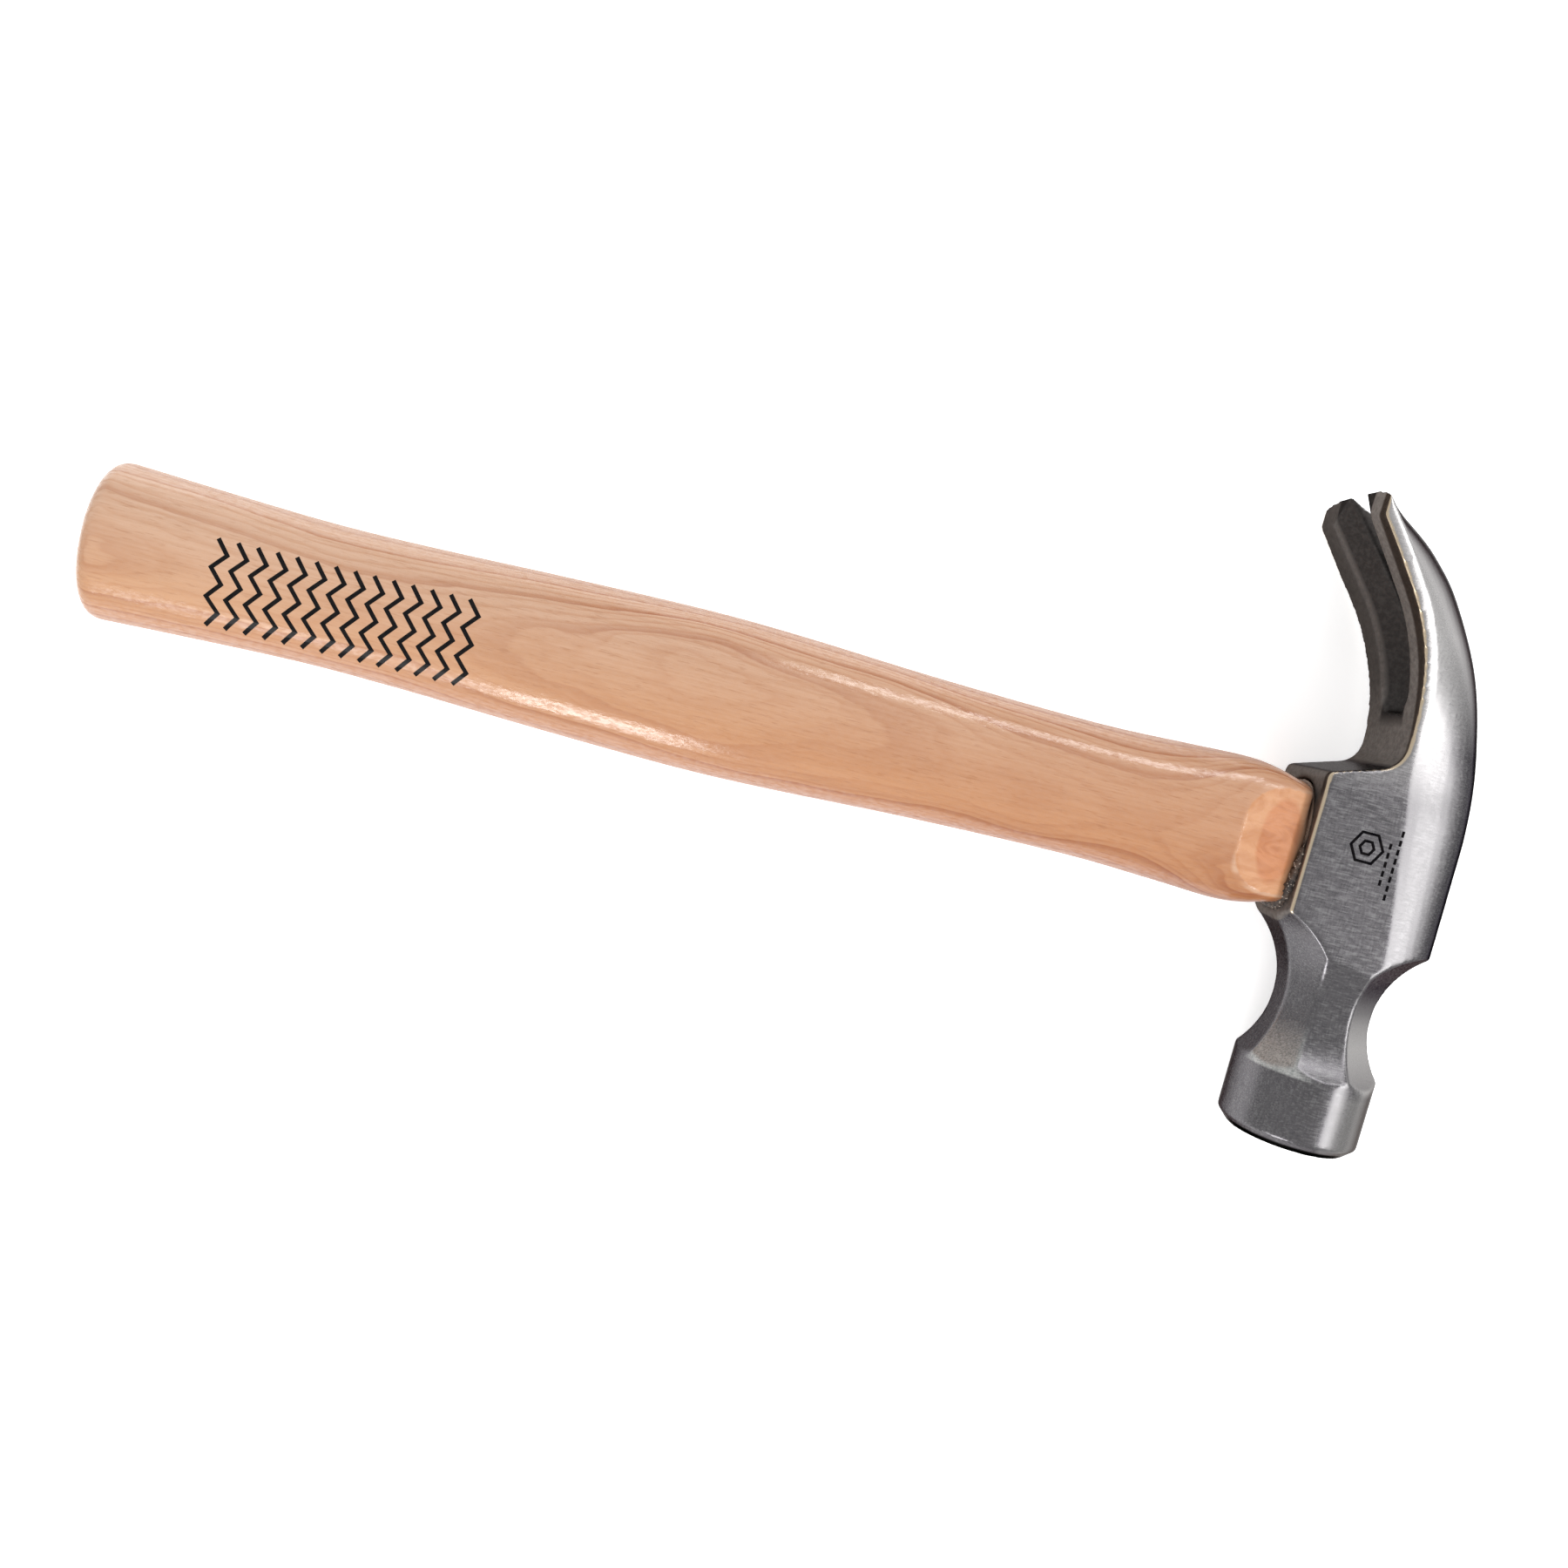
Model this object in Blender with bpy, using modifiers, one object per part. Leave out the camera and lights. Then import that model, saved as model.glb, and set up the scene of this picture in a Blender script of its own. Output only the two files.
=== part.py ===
"""Claw hammer with a wooden handle, lying flat on its side.

Axes: X runs along the handle from the butt to the head, Y along the head from the striking
face to the claw, and Z stands out of the cheek. The design is drawn in millimetres about a
point on the handle's centre line inside the eye, and then moved so that the origin is under the
middle of the whole hammer, on the surface it lies on.
"""

import math

import bmesh
import bpy
import numpy as np
from mathutils import Matrix, Vector

MM = 0.001                      # the numbers below are millimetres

# ---- driving dimensions ------------------------------------------------------------------
GAP = 0.35                      # clearance between touching pieces

# Head: the forged cheek block
HEAD_TOP = 15.85                # X of the crown's ridge over the eye
UNDERSIDE = -18.0               # X of the face that the handle enters
CHEEK_HALF_WIDTH = 11.8         # half the distance across the flat cheeks
LUG_END = 16.1                  # Y of the claw-side end of the underside
LUG_SLOPE = math.radians(17)    # the shoulder under the claw rises by this much
CORNER_RADIUS = 1.6             # rounded edge at the end of the lug
FILLET_RADIUS = 5.2             # between that shoulder and the claw

# Head: the claw
CLAW_ROOT = (-3.5, 25.0)        # where the claw's inner face starts to curve
CLAW_RADIUS = 48.0              # of its inner face
CLAW_SWEEP = math.radians(38)   # turned through by that curve, before the straight tip
CLAW_TIP = -23.5                # X of the ground bevel across both tips
SLOT_TIP_WIDTH = 7.0            # the nail slot at the tips
SLOT_ROOT_WIDTH = 1.6           # and at its closed end
SLOT_ROOT = 37.5                # Y of the closed end
TROUGH_WIDTH = (11.4, 18.0)     # countersink of the slot, at the inner face: root and tips
TROUGH_FLOOR_WIDTH = 3.6
TROUGH_DEPTH = 4.6
TROUGH_ROOT = 30.5              # Y of the countersink's round end

# Head: the poll and its octagonal neck
POLL_X = -0.8                   # X of its axis
FACE_Y = -61.3                  # the striking face
POLL_RADIUS = 14.5
FACE_CHAMFER = 2.4
NECK_Y = -31.7                  # the waist
NECK_X = -1.1                   # its axis
NECK_APOTHEM = 9.3              # half the distance across the neck's flats, at the waist
NECK_SCOOP_RADIUS = 21.0        # of each concave flat
NECK_FACETS = (0, 52, 97, 142, 180, -142, -97, -52)    # which way its flats face: degrees from +X

# Eye and tenon: half sizes along Y and Z
EYE_MOUTH = (12.4, 8.3)         # at the underside
EYE_WAIST = (11.4, 6.4)
EYE_TOP = (12.0, 6.8)           # flared, so that the wedges lock the handle
EYE_WAIST_X = -6.0
EYE_POWER = 2.4                 # squareness of its oval
EYE_POINTS = 48                 # round that oval
MOUTH_BEVEL = 1.6               # countersink round the mouth, filled with adhesive
MOUTH_DEPTH = 3.0
ADHESIVE_DEPTH = 2.0            # it fills the countersink to this far inside the head
TENON_START = -0.38             # the handle steps down to its tenon just before the head
TENON_TOP_SINK = 0.4            # the handle's end is trimmed this far below the crown

# Handle
BUTT_DOME = 3.0                 # how far the end face bulges
BUTT_ROUNDING = 2.6             # radius of the edge round it
# Stations along the handle: X, half height (Y), half thickness (Z), squareness of the oval
HANDLE_STATIONS = (
    (-268.5, 16.1, 13.1, 2.05),
    (-246.0, 15.2, 12.4, 2.2),
    (-224.0, 14.5, 11.9, 2.25),
    (-204.0, 14.8, 12.0, 2.25),
    (-176.0, 15.8, 12.6, 2.25),
    (-147.0, 16.5, 13.0, 2.25),
    (-126.0, 16.1, 12.7, 2.3),
    (-97.0, 14.8, 11.5, 2.35),
    (-64.0, 14.1, 10.8, 2.4),
    (-45.0, 14.7, 11.2, 2.4),
    (-32.0, 15.2, 11.5, 3.2),
    (-26.0, 14.6, 11.3, 3.7),
    (-21.5, 13.4, 10.9, 4.0),
    (-18.4, 12.7, 10.5, 4.0),
)
GRIP_STEPS = 4                  # sections between two of these rows
SHOULDER_FLAT = (-31.0, 11.2)   # X, Z where the flat that thins the shoulder begins
SHOULDER_ANGLE = math.radians(12)

# Wedges
KERF_WIDTH = 3.4                # the spread saw cut at the top, along Y
KERF_DEPTH = 22.0
WOOD_WEDGE = (10.4, 2.7, 0.8, 20.0)      # half width in Y, thickness at top and at the point, length
STEEL_WEDGE = (4.6, 2.2, 0.5, 13.0)      # the same, for the steel wedges that lie across it
STEEL_WEDGE_Y = (-5.6, 5.6)

# Sections of the cheek and claw. Each has the edge where the flat side ends and the crown
# begins (X, Y), the ridge of the crown (X, Y), the half width of the head there, and the
# squareness of the crown's arch: 2 is a plain ellipse.
CROWN_STATIONS = (
    (4.8, -38.5, HEAD_TOP, -38.5, CHEEK_HALF_WIDTH, 5.0),
    (3.6, -16.0, HEAD_TOP, -16.0, CHEEK_HALF_WIDTH, 5.0),
    (0.3, 4.0, HEAD_TOP, 4.0, CHEEK_HALF_WIDTH, 5.0),
    (-0.7, 11.5, HEAD_TOP - 0.2, 11.0, CHEEK_HALF_WIDTH, 5.0),
    (-1.6, 19.5, HEAD_TOP - 0.5, 18.5, 11.0, 4.5),
    (-2.1, 27.5, 14.0, 27.0, 11.2, 3.6),
    (-2.5, 35.9, 10.8, 39.0, 12.2, 2.6),
    (-4.5, 42.9, 6.9, 47.5, 13.5, 2.2),
    (-8.3, 51.1, 0.7, 57.0, 14.6, 2.0),
    (-12.3, 56.7, -4.4, 62.4, 15.3, 2.0),
    (-17.3, 63.2, -11.2, 67.3, 15.8, 2.0),
    (-24.8, 72.7, -24.1, 73.2, 15.8, 2.0),
    (-28.6, 77.5, -28.0, 77.9, 15.8, 2.0),
)
CROWN_STEPS = 5                 # sections between two of these rows
ARCH_STEPS = 12                 # facets from the ridge to each edge
CROWN_SWEEP = math.radians(60)  # part of a quarter ellipse that each side of the arch uses
SIDE_REACH = 30.0               # how far the straight sides go past the head, to cut right through


# ---- helpers -----------------------------------------------------------------------------
def clear_scene():
    for thing in list(bpy.data.objects):
        bpy.data.objects.remove(thing, do_unlink=True)


def new_collection(name):
    collection = bpy.data.collections.new(name)
    bpy.context.scene.collection.children.link(collection)
    return collection


def new_material(name, colour, roughness, metallic):
    material = bpy.data.materials.new(name)
    material.use_nodes = True
    shader = material.node_tree.nodes["Principled BSDF"]
    shader.inputs["Base Color"].default_value = (*colour, 1.0)
    shader.inputs["Roughness"].default_value = roughness
    shader.inputs["Metallic"].default_value = metallic
    return material


def smooth_through(stations, steps):
    """A Catmull-Rom curve through rows of numbers, with `steps` pieces between two rows."""
    rows = np.array(stations, float)
    padded = np.vstack([2 * rows[0] - rows[1], rows, 2 * rows[-1] - rows[-2]])
    result = []
    for i in range(1, len(padded) - 2):
        before, start, end, after = padded[i - 1:i + 3]
        for t in np.arange(steps) / steps:
            result.append(0.5 * (2 * start + (end - before) * t
                                 + (2 * before - 5 * start + 4 * end - after) * t ** 2
                                 + (3 * start - before - 3 * end + after) * t ** 3))
    result.append(rows[-1])
    return result


def oval(half_y, half_z, power, count):
    """Points of a superellipse in the YZ plane, counter-clockwise seen from +X."""
    points = []
    for angle in np.arange(count) * 2 * math.pi / count:
        c, s = math.cos(angle), math.sin(angle)
        points.append((half_y * math.copysign(abs(c) ** (2 / power), c),
                       half_z * math.copysign(abs(s) ** (2 / power), s)))
    return points


def object_from(name, bm, collection, material=None):
    """The bmesh, drawn in millimetres, as an object in metres with its faces turned outward."""
    bmesh.ops.recalc_face_normals(bm, faces=bm.faces)
    bmesh.ops.scale(bm, vec=Vector((MM, MM, MM)), verts=bm.verts)
    mesh = bpy.data.meshes.new(name)
    bm.to_mesh(mesh)
    bm.free()
    made = bpy.data.objects.new(name, mesh)
    collection.objects.link(made)
    if material:
        mesh.materials.append(material)
    return made


def loft(rings):
    """A closed body through rings of equally many points, with a flat cap on each end ring."""
    bm = bmesh.new()
    loops = [[bm.verts.new(point) for point in ring] for ring in rings]
    count = len(loops[0])
    for lower, upper in zip(loops, loops[1:]):
        for i in range(count):
            j = (i + 1) % count
            bm.faces.new((lower[i], lower[j], upper[j], upper[i]))
    bm.faces.new(loops[0])
    bm.faces.new(reversed(loops[-1]))
    return bm


def extruded(outline, low, high):
    """A flat outline in the XY plane as a prism from Z = low to Z = high."""
    return loft([[(x, y, low) for x, y in outline], [(x, y, high) for x, y in outline]])


def hide_cutter(cutter):
    cutter.hide_render = True
    cutter.display_type = "WIRE"


def combine(target, other, operation):
    """A Boolean modifier on target. The other object is only a guide, so it is hidden."""
    modifier = target.modifiers.new(operation.lower() + "_" + other.name, "BOOLEAN")
    modifier.operation = operation
    modifier.solver = "EXACT"
    modifier.object = other
    hide_cutter(other)


def arc(centre, radius, start, end, steps):
    """Points of a circle in the XY plane, from one angle to another."""
    angles = np.linspace(start, end, steps + 1)
    return [(centre[0] + radius * math.cos(a), centre[1] + radius * math.sin(a)) for a in angles]


def rounded_corner(before, corner, after, radius, steps):
    """An arc of that radius in place of the corner between two straight edges."""
    p, a, b = Vector(corner), Vector(before), Vector(after)
    toward_a, toward_b = (a - p).normalized(), (b - p).normalized()
    half = toward_a.angle(toward_b) / 2
    centre = p + (toward_a + toward_b).normalized() * radius / math.sin(half)
    start = p + toward_a * radius / math.tan(half) - centre
    end = p + toward_b * radius / math.tan(half) - centre
    points = []
    for t in np.linspace(0, 1, steps + 1):
        points.append(tuple(centre + (start.lerp(end, t)).normalized() * radius))
    return points


# ---- head --------------------------------------------------------------------------------
def claw_inner_face():
    """The claw's inner profile from its root to the bevelled tip: an arc, then a straight run."""
    centre = (CLAW_ROOT[0] - CLAW_RADIUS, CLAW_ROOT[1])
    points = arc(centre, CLAW_RADIUS, 0, CLAW_SWEEP, 20)
    x, y = points[-1]
    run = (x - CLAW_TIP) / math.sin(CLAW_SWEEP)
    points.append((CLAW_TIP, y + run * math.cos(CLAW_SWEEP)))
    return points


def head_outline():
    """The head's outline from the side. Its outer sides lie beyond the crown, which trims them."""
    far_x, far_y = 30.0, 90.0
    lug = (UNDERSIDE, LUG_END)
    shoulder_rise = (CLAW_ROOT[0] - UNDERSIDE) * math.tan(LUG_SLOPE)
    shoulder = (CLAW_ROOT[0], LUG_END + shoulder_rise)
    start = (UNDERSIDE, NECK_Y)
    return [start,
            *rounded_corner(start, lug, shoulder, CORNER_RADIUS, 4),
            *rounded_corner(lug, shoulder, CLAW_ROOT, FILLET_RADIUS, 6),
            *claw_inner_face(),
            (CLAW_TIP, far_y), (far_x, far_y), (far_x, NECK_Y)]


def arch_point(angle, power):
    """Height and place across of a point on the crown's arch, each from 0 to 1 at most."""
    def rounded(value, whole):
        return math.copysign(abs(value) ** (2 / power), value) / whole ** (2 / power)

    foot = rounded(math.cos(CROWN_SWEEP), 1.0)
    height = (rounded(math.cos(angle), 1.0) - foot) / (1 - foot)
    return height, rounded(math.sin(angle), math.sin(CROWN_SWEEP))


def crown_rings():
    """Sections of the cheeks and crown: an arch with straight sides that reach below the head."""
    rings = []
    for row in smooth_through(CROWN_STATIONS, CROWN_STEPS):
        edge, ridge, half_width, power = row[:2], row[2:4], row[4], row[5]
        rise = ridge - edge
        foot = edge - rise / np.linalg.norm(rise) * SIDE_REACH
        ring = [(*foot, -half_width)]
        for angle in np.linspace(-CROWN_SWEEP, CROWN_SWEEP, 2 * ARCH_STEPS + 1):
            height, across = arch_point(angle, power)
            ring.append((*(edge + rise * height), half_width * across))
        ring.append((*foot, half_width))
        rings.append(ring)
    return rings


def poll_blank(collection):
    """The round poll, turned about Y from its face to the neck's waist."""
    rim = POLL_RADIUS - FACE_CHAMFER
    profile = ((0, NECK_Y), (POLL_RADIUS, NECK_Y), (POLL_RADIUS, FACE_Y + FACE_CHAMFER),
               (rim, FACE_Y), (0, FACE_Y))
    mesh = bpy.data.meshes.new("poll_blank")
    mesh.from_pydata([(x * MM, y * MM, 0) for x, y in profile],
                     [(i, i + 1) for i in range(len(profile) - 1)], [])
    blank = bpy.data.objects.new("poll_blank", mesh)
    blank.location.x = POLL_X * MM
    collection.objects.link(blank)
    screw = blank.modifiers.new("turn", "SCREW")
    screw.axis = "Y"
    screw.steps = screw.render_steps = 96
    screw.use_merge_vertices = True
    screw.merge_threshold = 0.00001
    screw.use_normal_calculate = True
    return blank


def neck_scoops(collection):
    """One cylinder for each concave flat of the octagonal neck, lying across the poll's axis."""
    scoops = []
    distance = NECK_APOTHEM + NECK_SCOOP_RADIUS
    for number, degrees in enumerate(NECK_FACETS, 1):
        bm = bmesh.new()
        bmesh.ops.create_cone(bm, cap_ends=True, segments=128, radius1=NECK_SCOOP_RADIUS,
                              radius2=NECK_SCOOP_RADIUS, depth=90.0)
        # the cylinder's axis starts along Z and its centre on +X; then both turn about Y
        place = Matrix.Rotation(math.radians(degrees), 4, "Y")
        place = Matrix.Translation((NECK_X, NECK_Y, 0)) @ place @ Matrix.Translation((distance, 0, 0))
        bmesh.ops.transform(bm, matrix=place, verts=bm.verts)
        scoops.append(object_from(f"neck_scoop_{number}", bm, collection))
    return scoops


def eye_half_sizes(x):
    """Half height and half thickness of the eye at X: narrowest at the waist."""
    if x < EYE_WAIST_X:
        t = (EYE_WAIST_X - x) / (EYE_WAIST_X - UNDERSIDE)
        end = EYE_MOUTH
    else:
        t = (x - EYE_WAIST_X) / (HEAD_TOP - EYE_WAIST_X)
        end = EYE_TOP
    return tuple(w + (e - w) * t for w, e in zip(EYE_WAIST, end))


def eye_solid(low, high):
    """The eye's shape from X = low to X = high."""
    rings = []
    for x in (low, EYE_WAIST_X, high):
        half_y, half_z = eye_half_sizes(x)
        rings.append([(x, y, z) for y, z in oval(half_y, half_z, EYE_POWER, EYE_POINTS)])
    return loft(rings)


def mouth_solid(outer_shift, depth):
    """The countersink at the eye's mouth: the eye's oval, growing towards the handle."""
    half_y, half_z = EYE_MOUTH
    rings = []
    for x, grow in ((UNDERSIDE - 3.0, MOUTH_BEVEL), (UNDERSIDE, MOUTH_BEVEL), (UNDERSIDE + depth, 0.0)):
        size = grow + outer_shift
        rings.append([(x, y, z) for y, z in oval(half_y + size, half_z + size, EYE_POWER, EYE_POINTS)])
    return loft(rings)


def nail_slot(collection):
    """The slot between the tines: a wedge through the claw, widest at the tips."""
    tip_y, reach = 74.0, 90.0
    slope = (SLOT_TIP_WIDTH - SLOT_ROOT_WIDTH) / 2 / (tip_y - SLOT_ROOT)
    far = SLOT_ROOT_WIDTH / 2 + slope * (reach - SLOT_ROOT)
    near = SLOT_ROOT_WIDTH / 2
    outline = [(reach, -far), (reach, far), (SLOT_ROOT, near), (SLOT_ROOT - near, 0), (SLOT_ROOT, -near)]
    bm = loft([[(x, y, z) for y, z in outline] for x in (-40.0, 30.0)])
    return object_from("nail_slot", bm, collection)


def evenly_along(path, count):
    """Evenly spaced points along a path, each with the unit normal that points into the claw."""
    lengths = np.cumsum([0.0] + [(b - a).length for a, b in zip(path, path[1:])])
    result = []
    for s in np.linspace(0, lengths[-1], count):
        i = min(int(np.searchsorted(lengths, s, side="right")) - 1, len(path) - 2)
        a, b = path[i], path[i + 1]
        point = a.lerp(b, (s - lengths[i]) / (lengths[i + 1] - lengths[i]))
        along = (b - a).normalized()
        result.append((point, Vector((along.y, -along.x))))
    return result


def trough(collection):
    """The countersink along the slot, cut into the claw's inner face, with a round end."""
    inner = claw_inner_face()
    past_tip = Vector((-math.sin(CLAW_SWEEP), math.cos(CLAW_SWEEP))) * 8.0
    path = [Vector(p) for p in inner] + [Vector(inner[-1]) + past_tip]
    root_width, tip_width = TROUGH_WIDTH
    above = 2.0                 # how far the cutter stands out of the inner face
    rings = []
    for point, inward in evenly_along(path, 52):
        if point.y < TROUGH_ROOT:
            continue
        from_root = point.y - TROUGH_ROOT
        width = root_width + (tip_width - root_width) * from_root / (inner[-1][1] - TROUGH_ROOT)
        short_of_full = 1 - min(1.0, from_root / (root_width / 2))
        share = max(math.sqrt(1 - short_of_full ** 2), 0.12)
        mouth, floor = width / 2 * share, TROUGH_FLOOR_WIDTH / 2 * share
        depth = TROUGH_DEPTH * share
        flare = mouth + (mouth - floor) / depth * above
        top, bottom = point - inward * above, point + inward * depth
        rings.append([(*top, -flare), (*top, flare), (*bottom, floor), (*bottom, -floor)])
    return object_from("trough", loft(rings), collection)


def build_head(parts, cutters, steel):
    head = object_from("hammer_head", extruded(head_outline(), -25.0, 25.0), parts, steel)
    combine(head, object_from("crown", loft(crown_rings()), cutters), "INTERSECT")
    combine(head, poll_blank(cutters), "UNION")
    for scoop in neck_scoops(cutters):
        combine(head, scoop, "DIFFERENCE")
    eye = object_from("eye", eye_solid(UNDERSIDE - 5.0, HEAD_TOP + 5.0), cutters)
    combine(head, eye, "DIFFERENCE")
    combine(head, object_from("eye_mouth", mouth_solid(0.0, MOUTH_DEPTH), cutters), "DIFFERENCE")
    combine(head, trough(cutters), "DIFFERENCE")
    combine(head, nail_slot(cutters), "DIFFERENCE")
    return head


# ---- handle ------------------------------------------------------------------------------
def handle_rings():
    """Sections from the domed butt along the grip to the shoulder, then the tenon."""
    butt_x, half_y, half_z, power = HANDLE_STATIONS[0]
    sections = []
    for share in (0.03, 0.25, 0.5, 0.75):
        # concentric ovals across the end face, which bulges towards its middle
        sections.append((butt_x - BUTT_DOME * (1 - share ** 2), (half_y - BUTT_ROUNDING) * share,
                         (half_z - BUTT_ROUNDING) * share, power))
    for angle in np.radians((0, 30, 60)):
        inset = BUTT_ROUNDING * (1 - math.sin(angle))
        x = butt_x + BUTT_ROUNDING * (1 - math.cos(angle))
        sections.append((x, half_y - inset, half_z - inset, power))
    grip = [(butt_x + BUTT_ROUNDING, half_y, half_z, power), *HANDLE_STATIONS[1:]]
    sections += smooth_through(grip, GRIP_STEPS)
    for x in (UNDERSIDE + TENON_START, EYE_WAIST_X, HEAD_TOP + 4.0):
        half_y, half_z = eye_half_sizes(x)
        sections.append((x, half_y - GAP, half_z - GAP, EYE_POWER))
    rings = []
    for x, half_y, half_z, power in sections:
        rings.append([(x, y, z) for y, z in oval(half_y, half_z, power, EYE_POINTS)])
    return rings


def shoulder_cutter(side, collection):
    """A slab that planes the handle's side down towards the eye, on side +1 or -1."""
    x, z = SHOULDER_FLAT
    bm = bmesh.new()
    bmesh.ops.create_cube(bm, size=1.0)
    bmesh.ops.scale(bm, vec=(30.0, 60.0, 10.0), verts=bm.verts)
    place = Matrix.Translation((x, 0, side * z)) @ Matrix.Rotation(side * SHOULDER_ANGLE, 4, "Y")
    place = place @ Matrix.Translation((7.0, 0, side * 5.0))
    bmesh.ops.transform(bm, matrix=place, verts=bm.verts)
    return object_from("shoulder_flat_" + ("a" if side > 0 else "b"), bm, collection)


def wedge_solid(half_y, top, point, length, grow, reach):
    """A wedge with its point towards the butt and its thickness along Z."""
    top_x = HEAD_TOP
    slope = (top - point) / 2 / length
    thick = top / 2 + grow
    rings = []
    for x, z in ((top_x - length - grow, point / 2 + grow), (top_x + reach, thick + slope * reach)):
        rings.append([(x, -half_y - grow, -z), (x, half_y + grow, -z),
                      (x, half_y + grow, z), (x, -half_y - grow, z)])
    return loft(rings)


def over_crown(sink, collection, name):
    """The space above the crown near the eye, and `sink` below it: what fills the eye is trimmed by it."""
    reach, ceiling = 22.0, HEAD_TOP + 20.0
    rings = []
    for ring in crown_rings():
        arch = [(x - sink, y, z) for x, y, z in ring[1:-1]]
        if abs(arch[0][1]) < reach:
            rings.append([*arch, (ceiling, arch[-1][1], arch[-1][2]), (ceiling, arch[0][1], arch[0][2])])
    return object_from(name, loft(rings), collection)


def steel_wedge_solid(y, grow):
    """A steel wedge lying across the wooden one, its thickness along Y."""
    bm = wedge_solid(*STEEL_WEDGE, grow, 3.0)
    turn = Matrix.Translation((0, y, 0)) @ Matrix.Rotation(math.pi / 2, 4, "X")
    bmesh.ops.transform(bm, matrix=turn, verts=bm.verts)
    return bm


def build_handle(parts, cutters, wood):
    handle = object_from("handle", loft(handle_rings()), parts, wood)
    for side in (1, -1):
        combine(handle, shoulder_cutter(side, cutters), "DIFFERENCE")
    kerf_size = (EYE_TOP[0] + 3.0, KERF_WIDTH, 1.5, KERF_DEPTH)
    kerf = object_from("kerf", wedge_solid(*kerf_size, 0.0, 6.0), cutters)
    combine(handle, kerf, "DIFFERENCE")
    for number, y in enumerate(STEEL_WEDGE_Y, 1):
        cut = object_from(f"steel_wedge_cut_{number}", steel_wedge_solid(y, GAP), cutters)
        combine(handle, cut, "DIFFERENCE")
    return handle


def trim_to_crown(pieces, cutters):
    for piece in pieces:
        trim = over_crown(TENON_TOP_SINK, cutters, "over_crown_" + piece.name)
        combine(piece, trim, "DIFFERENCE")


def build_wedges(parts, cutters, wood, steel):
    wood_wedge = object_from("wood_wedge", wedge_solid(*WOOD_WEDGE, 0.0, 3.0), parts, wood)
    pieces = [wood_wedge]
    for number, y in enumerate(STEEL_WEDGE_Y, 1):
        cut = object_from(f"wedge_cross_cut_{number}", steel_wedge_solid(y, GAP), cutters)
        combine(wood_wedge, cut, "DIFFERENCE")
        pieces.append(object_from(f"steel_wedge_{number}", steel_wedge_solid(y, 0.0), parts, steel))
    return pieces


def build_adhesive(parts, cutters, adhesive):
    """The ring of adhesive that fills the countersink between the handle and the head."""
    ring = object_from("eye_adhesive", mouth_solid(-GAP, MOUTH_DEPTH), parts, adhesive)
    low, high = UNDERSIDE, UNDERSIDE + ADHESIVE_DEPTH
    span = bmesh.new()
    bmesh.ops.create_cube(span, size=1.0)
    bmesh.ops.scale(span, vec=(high - low, 60.0, 60.0), verts=span.verts)
    bmesh.ops.translate(span, vec=Vector(((low + high) / 2, 0, 0)), verts=span.verts)
    combine(ring, object_from("adhesive_span", span, cutters), "INTERSECT")
    rings = []
    for x in (UNDERSIDE - 1.0, UNDERSIDE + 6.0):
        half_y, half_z = eye_half_sizes(x)
        rings.append([(x, y, z) for y, z in oval(half_y, half_z, EYE_POWER, EYE_POINTS)])
    combine(ring, object_from("adhesive_hole", loft(rings), cutters), "DIFFERENCE")
    return ring


# ---- assembly ----------------------------------------------------------------------------
def place_on_surface(pieces):
    """Moves everything so that the origin is under the middle of the hammer's box."""
    bpy.context.view_layer.update()
    graph = bpy.context.evaluated_depsgraph_get()
    corners = []
    for piece in pieces:
        mesh = piece.evaluated_get(graph).to_mesh()
        corners += [piece.matrix_world @ vertex.co for vertex in mesh.vertices]
    low = [min(c[i] for c in corners) for i in range(3)]
    high = [max(c[i] for c in corners) for i in range(3)]
    shift = Vector((-(low[0] + high[0]) / 2, -(low[1] + high[1]) / 2, -low[2]))
    for thing in bpy.data.objects:
        thing.location = thing.location + shift


def main():
    clear_scene()
    parts = new_collection("claw_hammer")
    cutters = new_collection("cutters")
    steel = new_material("forged_steel", (0.45, 0.44, 0.43), 0.35, 1.0)
    ash = new_material("lacquered_wood", (0.80, 0.54, 0.34), 0.3, 0.0)
    wedge_wood = new_material("wedge_wood", (0.62, 0.42, 0.26), 0.6, 0.0)
    wedge_steel = new_material("wedge_steel", (0.36, 0.35, 0.34), 0.45, 1.0)
    glue = new_material("adhesive", (0.06, 0.05, 0.045), 0.8, 0.0)

    head = build_head(parts, cutters, steel)
    handle = build_handle(parts, cutters, ash)
    wedges = build_wedges(parts, cutters, wedge_wood, wedge_steel)
    adhesive = build_adhesive(parts, cutters, glue)
    trim_to_crown([handle, *wedges], cutters)
    place_on_surface([head, handle, *wedges, adhesive])


main()
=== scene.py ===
"""A claw hammer lying on a pale floor. The CAD frame gives every size and place; this script
adds finer meshes, finished materials, the floor, the lights and the camera."""
import math

import bmesh
import bpy
from mathutils import Matrix, Vector
from mathutils.bvhtree import BVHTree


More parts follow.
